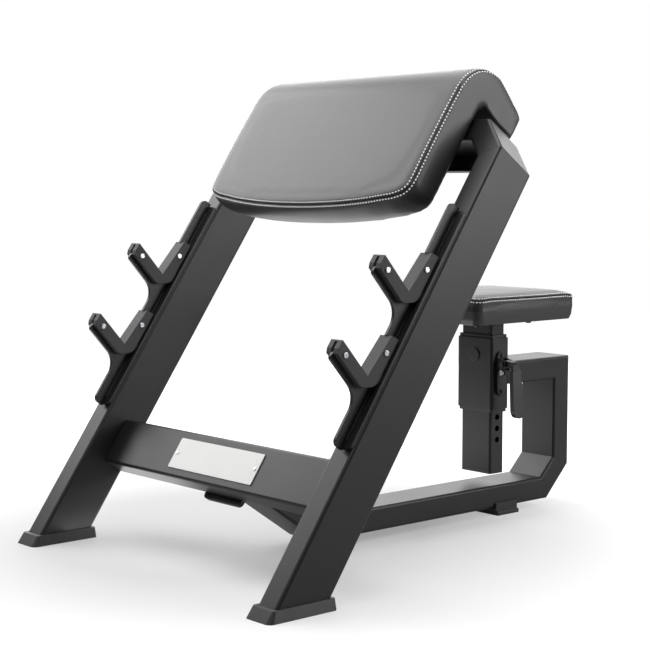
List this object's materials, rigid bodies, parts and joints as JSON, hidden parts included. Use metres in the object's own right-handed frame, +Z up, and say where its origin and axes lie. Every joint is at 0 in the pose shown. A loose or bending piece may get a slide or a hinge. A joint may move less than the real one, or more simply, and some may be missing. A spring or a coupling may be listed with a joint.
{
  "type": "preacher curl bench",
  "caption": "Preacher curl bench: a sloping padded arm rest on a leaning frame with barbell racks, and a padded seat set in height by a pull lever and pin",
  "frame": {"origin": "on the floor, under the middle of the bench's box", "axes": "+Z up, +Y from the racks back to the seat, +X to the side of the lock lever"},
  "size_m": [0.814, 1.1692, 0.9369],
  "materials": {
    "powder_coat": "satin black powder coat",
    "rubber": "moulded matt black rubber",
    "upholstery": "satin black leatherette, sewn with white thread",
    "plywood": "bare plywood",
    "black_plastic": "moulded black plastic",
    "liner_plastic": "moulded dark grey plastic",
    "zinc_steel": "bright zinc plated",
    "black_steel": "blackened steel",
    "badge_coat": "bare white enamel"
  },
  "bodies": {
    "frame": {"left_leg": "powder_coat", "right_leg": "powder_coat", "left_corner": "powder_coat", "right_corner": "powder_coat", "top_tube": "powder_coat", "top_gusset": "powder_coat", "crossbar": "powder_coat", "badge_plate": "badge_coat", "badge_rivets": "zinc_steel", "left_foot": "rubber", "right_foot": "rubber", "flange_plate": "powder_coat", "flange_bolts": "black_steel", "flange_nuts": "black_steel", "front_strut": "powder_coat", "floor_beam": "powder_coat", "rear_corner": "powder_coat", "rear_upright": "powder_coat", "seat_arm": "powder_coat", "rear_foot": "rubber", "seat_sleeve": "powder_coat", "sleeve_plug": "black_plastic", "upper_bush": "black_plastic", "lower_bush": "black_plastic", "lever_mount": "powder_coat", "mount_screws": "black_steel", "pivot_pin": "black_steel", "left_pad_bracket": "powder_coat", "right_pad_bracket": "powder_coat", "pad_bolts": "black_steel", "front_board": "plywood", "rear_board": "plywood", "arm_pad": "upholstery", "left_rack_base": "powder_coat", "right_rack_base": "powder_coat", "left_rack_plate": "powder_coat", "right_rack_plate": "powder_coat", "left_upper_cup_liner": "liner_plastic", "left_lower_cup_liner": "liner_plastic", "right_upper_cup_liner": "liner_plastic", "right_lower_cup_liner": "liner_plastic", "liner_screws": "zinc_steel", "liner_nuts": "zinc_steel"},
    "seat": {"seat_post": "powder_coat", "post_cap": "black_plastic", "seat_plate": "powder_coat", "seat_board": "plywood", "seat_pad": "upholstery", "seat_bolts": "black_steel"},
    "pin": {"lock_pin": "zinc_steel", "clevis_pin": "zinc_steel"},
    "lever": {"lever": "powder_coat", "lever_grip": "black_plastic"}
  },
  "joints": [
    {"name": "seat_slide", "type": "slide", "parent": "frame", "child": "seat", "axis": [0, 0, 1], "range_m": [0, 0.15]},
    {"name": "lever_hinge", "type": "hinge", "parent": "frame", "child": "lever", "pos_m": [0.069, 0.3519, 0.333], "axis": [0, -1, 0], "range_deg": [0, 31], "stiffness_Nm_per_rad": 0.5, "springref_deg": -17.19},
    {"name": "pin_slide", "type": "slide", "parent": "frame", "child": "pin", "axis": [1, 0, 0], "range_m": [0, 0.01]}
  ],
  "couplings": [
    {"joint": "pin_slide", "follows": "lever_hinge", "m_per_rad": 0.018483}
  ]
}
